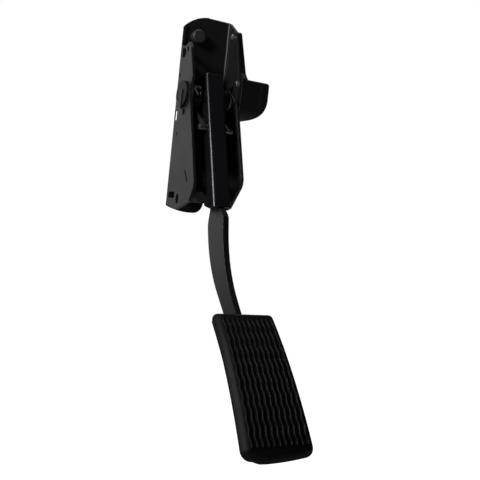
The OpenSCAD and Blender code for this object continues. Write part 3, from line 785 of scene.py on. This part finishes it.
@dataclass
class PadRubber:
    """The pad's rubber: a crowned block with a sloping border and wavy ribs."""

    width: float = 64.2
    taper: float = 3.6
    top: float = 66.0
    bottom: float = -68.0
    chin: float = 2.6
    chin_x: float = -14.0
    face: float = 7.4
    rim: float = 2.4
    border: float = 5.2
    lower_corner: float = 9.0
    upper_corner: float = 5.5
    slopes: tuple[Point, ...] = ((0.3, 0.45), (0.35, 0.35), (0.35, 0.2))
    crown: float = 480.0
    lean: float = 41.0
    place: tuple[float, float] = (-190.5, -237.5)
    ribs: int = 11
    pitch: float = 5.07
    rib_height: float = 1.7
    rib_foot: float = 3.4
    rib_top: float = 1.9
    wave: float = 13.1
    waves: int = 9
    sway: float = 0.62

    def body(self) -> Bench:
        """Models the block with its chin, round corners and sloping border.

        Returns:
            The bench with the flat block.
        """
        half = self.width / 2.0
        bench = Bench.block("pad_rubber_skin", (-half, -self.rim, self.bottom), (half, 0.0, self.top))
        for z, radius in ((self.bottom, self.lower_corner), (self.top, self.upper_corner)):
            bench.select(Pick.EDGES, lambda m, z=z: abs(m.z - z) < 0.1 and abs(abs(m.x) - half) < 0.1
                         and abs(m.y + self.rim / 2.0) < 0.1)
            bpy.ops.mesh.bevel(offset=radius * MM, segments=7, affect="EDGES")
        flat = half - self.lower_corner
        bench.select(Pick.EDGES, lambda m: abs(m.z - self.bottom) < 0.1 and abs(m.x) < 1.0)
        bpy.ops.mesh.subdivide(number_cuts=7)
        for step in range(1, 8):
            x = -flat + 2.0 * flat * step / 8.0
            reach = 1.0 - ((x - self.chin_x) / (flat - self.chin_x if x > self.chin_x else flat + self.chin_x)) ** 2
            bench.shift(lambda m, x=x: abs(m.x - x) < 0.1 and abs(m.z - self.bottom) < 0.1,
                        (0.0, 0.0, -self.chin * reach))
        bench.select(Pick.FACES, lambda m: abs(m.y + self.rim) < 0.05)
        rise = self.face - self.rim
        for share, depth in self.slopes:
            bpy.ops.mesh.inset(thickness=self.border * share * MM, depth=rise * depth * MM)
        return bench

    def rib(self) -> Bench:
        """Models one wavy rib: one wave, repeated, rounded and closed.

        Returns:
            The bench with the rib, centred on the face.
        """
        foot = self.rib_foot / 2.0
        bench = Bench.block("rib", (-foot, -self.rib_height, 0.0), (foot, 0.6, self.wave))
        bench.select(Pick.FACES, lambda m: m.y < 0.1 - self.rib_height)
        bpy.ops.transform.resize(value=(self.rib_top / self.rib_foot, 1.0, 1.0))
        bench.slice(Axis.Z, [self.wave * part / 4.0 for part in (1, 2, 3)])
        for part, side in ((1, 1.0), (3, -1.0)):
            bench.shift(lambda m, part=part: abs(m.z - self.wave * part / 4.0) < 0.1, (side * self.sway, 0.0, 0.0))
        bench.select(Pick.FACES, lambda m: m.z < 0.01 or m.z > self.wave - 0.01)
        bpy.ops.mesh.delete(type="ONLY_FACE")
        bench.apply("ARRAY", count=self.waves, use_relative_offset=False, use_constant_offset=True,
                    constant_offset_displace=(0.0, 0.0, self.wave * MM), use_merge_vertices=True,
                    merge_threshold=0.0001)
        bench.edit()
        bpy.ops.mesh.select_mode(type="EDGE")
        bpy.ops.mesh.select_all(action="DESELECT")
        bpy.ops.mesh.select_non_manifold()
        bpy.ops.mesh.fill_holes(sides=8)
        bench.shift(lambda m: True, (0.0, -self.face, -self.wave * self.waves / 2.0 - 1.0))
        return bench.apply("SUBSURF", levels=2, render_levels=2)

    def build(self) -> Piece:
        """Builds the rubber, crowned and in its place.

        Returns:
            The finished piece.
        """
        ribs = self.rib()
        ribs.apply("ARRAY", count=self.ribs, use_relative_offset=False, use_constant_offset=True,
                   constant_offset_displace=(self.pitch * MM, 0.0, 0.0))
        ribs.shift(lambda m: True, (-self.pitch * (self.ribs - 1) / 2.0, 0.0, 0.0))
        bench = self.body()
        bench.apply("BEVEL", width=0.5 * MM, segments=2, limit_method="ANGLE", angle_limit=math.radians(25.0))
        bench.slice(Axis.Z, [self.bottom + 8.0 * step for step in range(1, 17)])
        bench.gather([ribs])
        bench.apply("SIMPLE_DEFORM", deform_method="TAPER", deform_axis="Z", lock_y=True,
                    factor=-2.0 * self.taper / self.width)
        low = min(v.co.z for v in bench.piece.data.vertices)
        high = max(v.co.z for v in bench.piece.data.vertices)
        bench.apply("SIMPLE_DEFORM", deform_method="BEND", deform_axis="X", angle=(high - low) / (self.crown * MM))
        bench.piece.rotation_euler = (math.radians(-self.lean), 0.0, 0.0)
        bench.piece.location = (0.0, self.place[0] * MM, self.place[1] * MM)
        return bench.finish(Look("black_rubber", Body.PEDAL.value, ("pad_rubber",)), 40.0)


@dataclass
class Springs:
    """The two return springs, coiled round the hub with one leg on the pin and one on the plate."""

    wire: float = 1.2
    coil: float = 10.2
    turns: float = 3.5
    pitch: float = 2.7
    start: float = 11.6
    pin_radius: float = 2.5
    pin_depth: float = 7.0
    pin_drop: float = 40.0
    lever_reach: float = 49.5
    gap: float = 0.3
    plate_leg: float = 18.0
    overhang: float = 4.0
    sides: int = 14

    def pin(self) -> tuple[float, float]:
        """Gives the distance of the spring pin from the pivot, and its direction from +Y toward +Z."""
        lean = math.radians(PIVOT.lean)
        height = (PIVOT.y + self.lever_reach) * math.sin(lean) + PIVOT.z * math.cos(lean) - self.pin_drop
        y = -self.lever_reach + self.pin_depth * math.cos(lean) + height * math.sin(lean)
        z = -self.pin_depth * math.sin(lean) + height * math.cos(lean)
        return math.hypot(y - PIVOT.y, z - PIVOT.z), math.atan2(z - PIVOT.z, y - PIVOT.y)

    def build(self, name: str, side: int) -> Piece:
        """Builds one spring.

        Args:
            name: The node that it replaces.
            side: -1 for the left one, 1 for the right one.

        Returns:
            The finished piece.
        """
        away, direction = self.pin()
        first = direction + math.acos(self.coil / away) - math.asin(
            (self.pin_radius + self.wire + self.gap) / away)
        leg = math.sqrt(away**2 - self.coil**2) + self.overhang
        reach = self.pitch * self.turns
        Bench.clear()
        bpy.ops.mesh.primitive_circle_add(vertices=self.sides, radius=self.wire * MM, location=(0.0, 0.0, 0.0),
                                          rotation=(math.pi / 2.0, 0.0, 0.0))
        bench = Bench(bpy.context.object).settle()
        bench.piece.name = name + "_wire"
        bench.shift(lambda m: True, (side * self.start, self.coil * math.cos(first), self.coil * math.sin(first)))
        bpy.ops.transform.rotate(value=-(first - math.pi / 2.0), orient_axis="X",
                                 center_override=bench.middle())
        bench.apply("SCREW", axis="X", angle=math.tau * self.turns, screw_offset=side * reach * MM,
                    steps=int(40 * self.turns), render_steps=int(40 * self.turns), use_merge_vertices=False)
        last = first + math.tau * self.turns
        ends = (
            (side * self.start, first, (math.sin(first), -math.cos(first)), leg),
            (side * (self.start + reach), last, (-math.sin(last), math.cos(last)), self.plate_leg),
        )
        for x, angle, way, length in ends:
            centre = Vector((x, self.coil * math.cos(angle), self.coil * math.sin(angle)))
            bench.select(Pick.VERTS, lambda m, c=centre: (m - c).length < self.wire * 1.02)
            bpy.ops.mesh.select_mode(type="EDGE")
            step = Vector((0.0, *way)) * length * MM
            bpy.ops.mesh.extrude_region_move(TRANSFORM_OT_translate={"value": step})
            bpy.ops.mesh.edge_face_add()
        bench.piece.location = (0.0, PIVOT.y * MM, PIVOT.z * MM)
        fixed = (side * (self.start + reach) * MM, PIVOT.y * MM, PIVOT.z * MM)
        moving = (side * self.start * MM, PIVOT.y * MM, PIVOT.z * MM)
        return bench.finish(Look("spring_steel", Body.BRACKET.value, (name,), (fixed, moving)), 50.0)


# --------------------------------------------------------------------- studio


@dataclass
class Studio:
    """Camera, lamps, world and the pale floor."""

    azimuth: float = -27.6
    elevation: float = 1.8
    roll: float = 5.9
    eye: tuple[float, float, float] = (-0.3056, -0.7111, -0.1023)
    focal_px: float = 718.0
    frame_px: float = 480.0
    sensor_mm: float = 36.0
    floor_z: float = -0.62
    room: float = 0.02
    backdrop_from: float = 0.6
    backdrop_full: float = 1.25

    def camera(self) -> None:
        """Makes the camera that matches the photo's view."""
        a, e, r = (math.radians(v) for v in (self.azimuth, self.elevation, self.roll))
        right = Vector((math.cos(a), math.sin(a), 0.0))
        back = Vector((math.sin(a) * math.cos(e), -math.cos(a) * math.cos(e), math.sin(e)))
        up = back.cross(right)
        x_axis = math.cos(r) * right + math.sin(r) * up
        y_axis = -math.sin(r) * right + math.cos(r) * up
        data = bpy.data.cameras.new("view")
        data.sensor_width = self.sensor_mm
        data.lens = self.focal_px / self.frame_px * self.sensor_mm
        data.clip_start = 0.01
        camera = bpy.data.objects.new("view", data)
        turn = Matrix((x_axis, y_axis, back)).transposed().to_4x4()
        camera.matrix_world = Matrix.Translation(self.eye) @ turn
        bpy.context.scene.collection.objects.link(camera)
        bpy.context.scene.camera = camera

    def lamp(self, name: str, place: tuple[float, float, float], size: tuple[float, float], power: float,
             aim: tuple[float, float, float] = (0.0, -0.08, -0.1)) -> None:
        """Makes one area lamp.

        Args:
            name: The lamp's name.
            place: Where it stands.
            size: Its width and height.
            power: Its power in watts.
            aim: The point it faces.
        """
        data = bpy.data.lights.new(name, "AREA")
        data.shape = "RECTANGLE"
        data.size, data.size_y = size
        data.energy = power
        lamp = bpy.data.objects.new(name, data)
        facing = Vector(place) - Vector(aim)
        lamp.matrix_world = Matrix.Translation(place) @ facing.to_track_quat("Z", "Y").to_matrix().to_4x4()
        bpy.context.scene.collection.objects.link(lamp)

    def world(self) -> None:
        """Makes the world: a dim room, white to the camera, with the white backdrop behind the pedal."""
        world = bpy.data.worlds.new("studio")
        world.use_nodes = True
        world.node_tree.nodes.clear()
        graph = Graph(world.node_tree)
        dim = graph.add("ShaderNodeBackground")
        dim.inputs["Strength"].default_value = self.room
        white = graph.add("ShaderNodeBackground")
        white.inputs["Strength"].default_value = 1.0
        for light in (dim, white):
            light.inputs["Color"].default_value = (1.0, 1.0, 1.0, 1.0)
        path = graph.add("ShaderNodeLightPath")
        way = graph.add("ShaderNodeSeparateXYZ")
        graph.link(graph.add("ShaderNodeTexCoord").outputs["Generated"], way.inputs[0])
        behind = graph.spread(way.outputs["Y"], self.backdrop_from, self.backdrop_full, 0.0, 1.0)
        mirrored = graph.maths("MAXIMUM", path.outputs["Is Glossy Ray"], path.outputs["Is Transmission Ray"])
        seen = graph.maths("MAXIMUM", path.outputs["Is Camera Ray"], graph.maths("MULTIPLY", mirrored, behind))
        mix = graph.add("ShaderNodeMixShader")
        graph.link(seen, mix.inputs[0])
        graph.link(dim.outputs[0], mix.inputs[1])
        graph.link(white.outputs[0], mix.inputs[2])
        graph.link(mix.outputs[0], graph.add("ShaderNodeOutputWorld").inputs[0])
        bpy.context.scene.world = world

    def floor(self) -> None:
        """Makes the pale floor under the pedal, which keeps its shadow."""
        bpy.ops.mesh.primitive_plane_add(size=6.0, location=(0.0, 0.0, self.floor_z))
        plane = bpy.context.object
        plane.name = "floor"
        made = bpy.data.materials.new("floor")
        made.use_nodes = True
        made.node_tree.nodes.clear()
        graph = Graph(made.node_tree)
        pale = graph.add("ShaderNodeBsdfDiffuse")
        pale.inputs["Color"].default_value = (0.8, 0.8, 0.8, 1.0)
        glow = graph.add("ShaderNodeEmission")
        path = graph.add("ShaderNodeLightPath")
        graph.link(path.outputs["Is Camera Ray"], glow.inputs["Strength"])
        both = graph.add("ShaderNodeAddShader")
        graph.link(pale.outputs[0], both.inputs[0])
        graph.link(glow.outputs[0], both.inputs[1])
        output = graph.add("ShaderNodeOutputMaterial")
        graph.link(both.outputs[0], output.inputs[0])
        plane.data.materials.append(made)

    def build(self) -> None:
        """Builds the whole studio."""
        self.camera()
        self.world()
        self.floor()
        self.lamp("key", (-1.01, -0.43, 0.5), (0.22, 0.22), 11.0)
        self.lamp("back_left", (-1.0, 0.9, 0.55), (1.2, 1.2), 1.0)
        self.lamp("top", (0.15, 0.3, 1.1), (0.5, 0.5), 3.0)
        LOG.info("studio: camera, world, floor and 3 lamps")


# ----------------------------------------------------------------------- main


def dress(finishes: dict[str, bpy.types.Material]) -> None:
    """Gives each CAD node the finish of its material slot.

    Args:
        finishes: Materials by slot name.
    """
    for part in frame["record"]["subparts"]:
        node = frame["nodes"][part["node"]]
        for place in node.material_slots:
            place.material = finishes[part["material_slot"]]
        LOG.info("dressed %s in %s", part["node"], part["material_slot"])


def main() -> None:
    """Builds the looks of the pedal."""
    Bench.clear()
    bpy.context.scene.view_settings.view_transform = "Standard"
    grain_group()
    edge_group()
    finishes = {finish.name: finish.material() for finish in FINISHES}
    dress(finishes)
    Bench.finishes.update(finishes)
    bracket = Bracket()
    bracket.build()
    bracket.build_bush()
    PadRubber().build()
    springs = Springs()
    for name, side in (("left_spring", -1), ("right_spring", 1)):
        springs.build(name, side)
    Studio().build()


if __name__ == "__main__":
    main()
